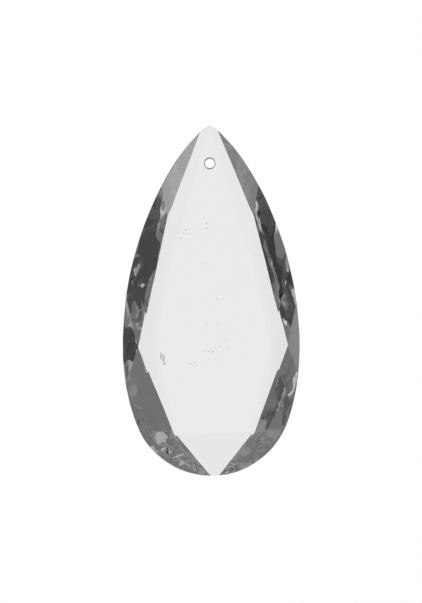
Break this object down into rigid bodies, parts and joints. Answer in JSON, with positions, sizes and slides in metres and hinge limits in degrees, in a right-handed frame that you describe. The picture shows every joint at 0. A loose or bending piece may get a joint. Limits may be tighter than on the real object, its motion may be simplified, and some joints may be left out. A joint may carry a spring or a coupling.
{
  "type": "crystal drop ornament",
  "caption": "Flat pear-shaped glass drop with a large table face, cut bevels round the rim and one small hanging hole near the tip.",
  "frame": {"origin": "centre of the hanging hole, halfway through the glass", "axes": "+Z along the drop from the hole to the tip, up as it hangs; +Y along the hole towards the back face; +X to the right seen from the front"},
  "size_m": [0.0252, 0.006, 0.05],
  "materials": {
    "clear_glass": "clear polished glass, faintly grey, with fine scratches, small pits and softly worn facet edges"
  },
  "bodies": {
    "root": {"crystal_drop": "clear_glass"}
  },
  "joints": []
}
